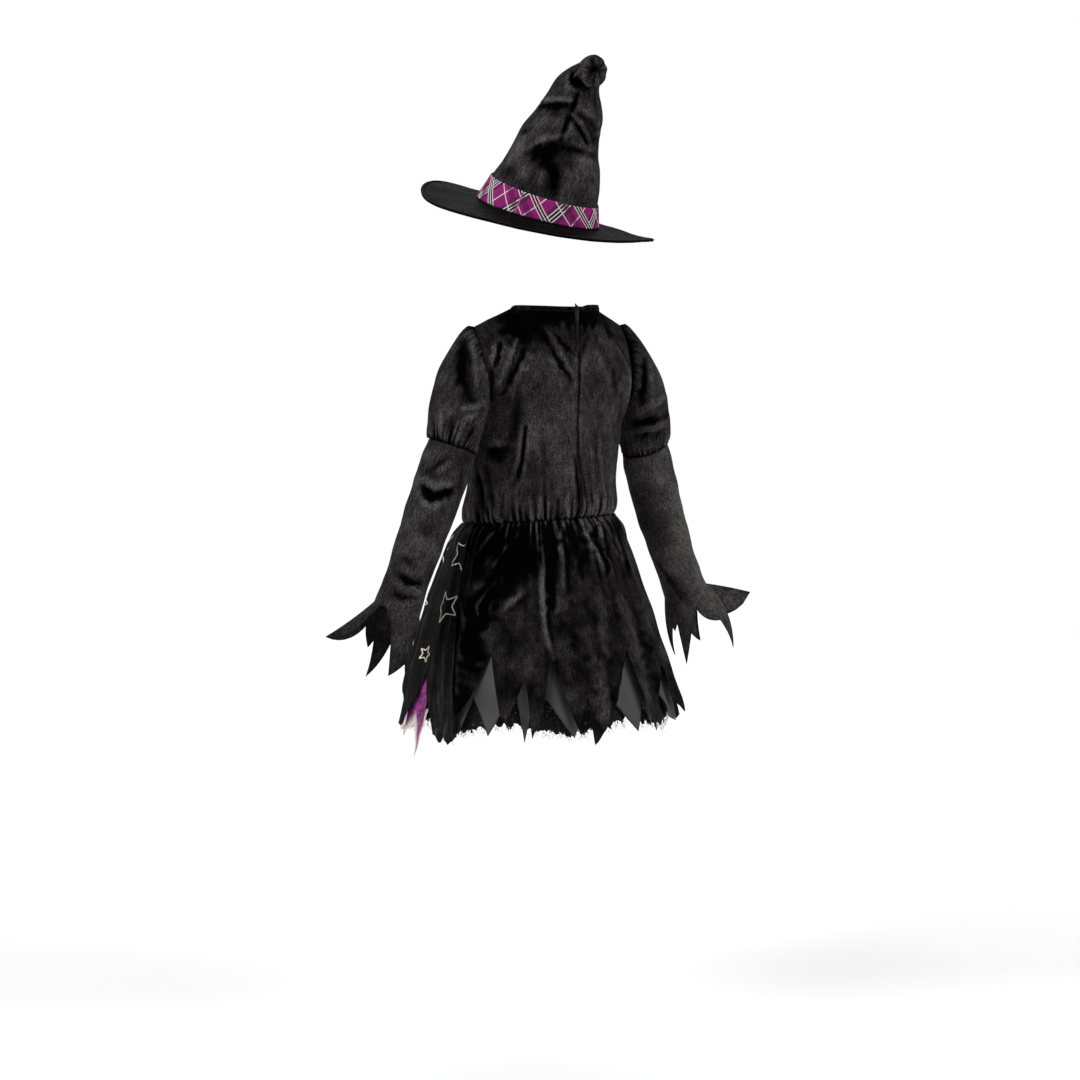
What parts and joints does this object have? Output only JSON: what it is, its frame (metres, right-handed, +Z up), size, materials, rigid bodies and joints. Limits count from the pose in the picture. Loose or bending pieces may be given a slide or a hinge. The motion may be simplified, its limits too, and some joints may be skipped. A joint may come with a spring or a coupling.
{
  "type": "child's witch costume: dress and pointed hat",
  "caption": "Worn velvet witch dress with puffed sleeves, claw-cut cuffs and a ragged layered skirt, with a pointed hat that has a plaid band.",
  "frame": {"origin": "centre of the neck opening, where the shoulders carry the dress", "axes": "+Z up, +X to the wearer's left, -Y to the wearer's front"},
  "size_m": [0.7868, 0.3996, 0.9774],
  "materials": {
    "velvet": "crushed black velvet with a short shiny nap",
    "satin": "smooth dark grey lining cloth",
    "black_net": "stiff black net with a torn edge",
    "star_net": "sheer black knit with metallic star outlines",
    "glitter_net": "magenta net with glitter and pale torn tips",
    "hat_velvet": "crushed black velvet, creased",
    "plaid_band": "bias-cut plaid cotton in magenta, violet and black with white lines"
  },
  "bodies": {
    "root": {"bodice_front": "velvet", "bodice_back_left": "velvet", "bodice_back_right": "velvet", "sleeve_puff_left": "velvet", "sleeve_puff_right": "velvet", "sleeve_lower_left": "velvet", "sleeve_lower_right": "velvet", "skirt_velvet": "velvet", "skirt_star_overlay": "star_net", "skirt_glitter_net": "glitter_net", "underskirt_satin": "satin", "petticoat_net": "black_net", "hat_crown": "hat_velvet", "hat_brim": "hat_velvet", "hat_band": "plaid_band"}
  },
  "joints": []
}
